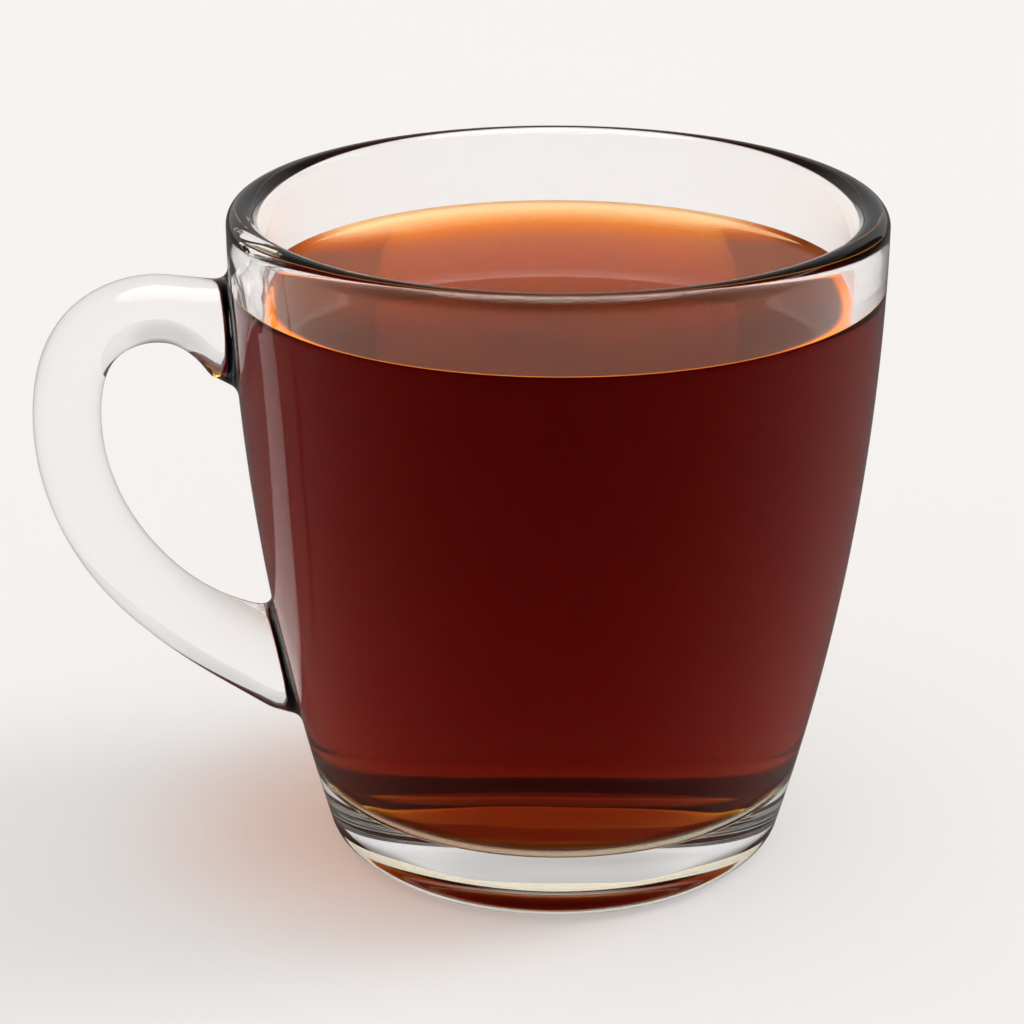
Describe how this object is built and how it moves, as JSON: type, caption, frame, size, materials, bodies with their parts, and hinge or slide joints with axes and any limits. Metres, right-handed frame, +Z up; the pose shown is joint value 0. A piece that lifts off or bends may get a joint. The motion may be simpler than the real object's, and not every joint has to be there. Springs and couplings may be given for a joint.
{
  "type": "glass mug of tea",
  "caption": "Clear glass mug with a loop handle, filled with black tea to just below the lip.",
  "frame": {"origin": "centre of the foot, on the plane that the mug stands on", "axes": "+Z up along the mug's axis, handle towards -X, so +X runs along the length over the handle"},
  "size_m": [0.1096, 0.084, 0.087],
  "materials": {
    "clear_glass": "polished",
    "black_tea": "liquid, stands in for tea"
  },
  "bodies": {
    "root": {"mug_glass": "clear_glass", "tea": "black_tea"}
  },
  "joints": []
}
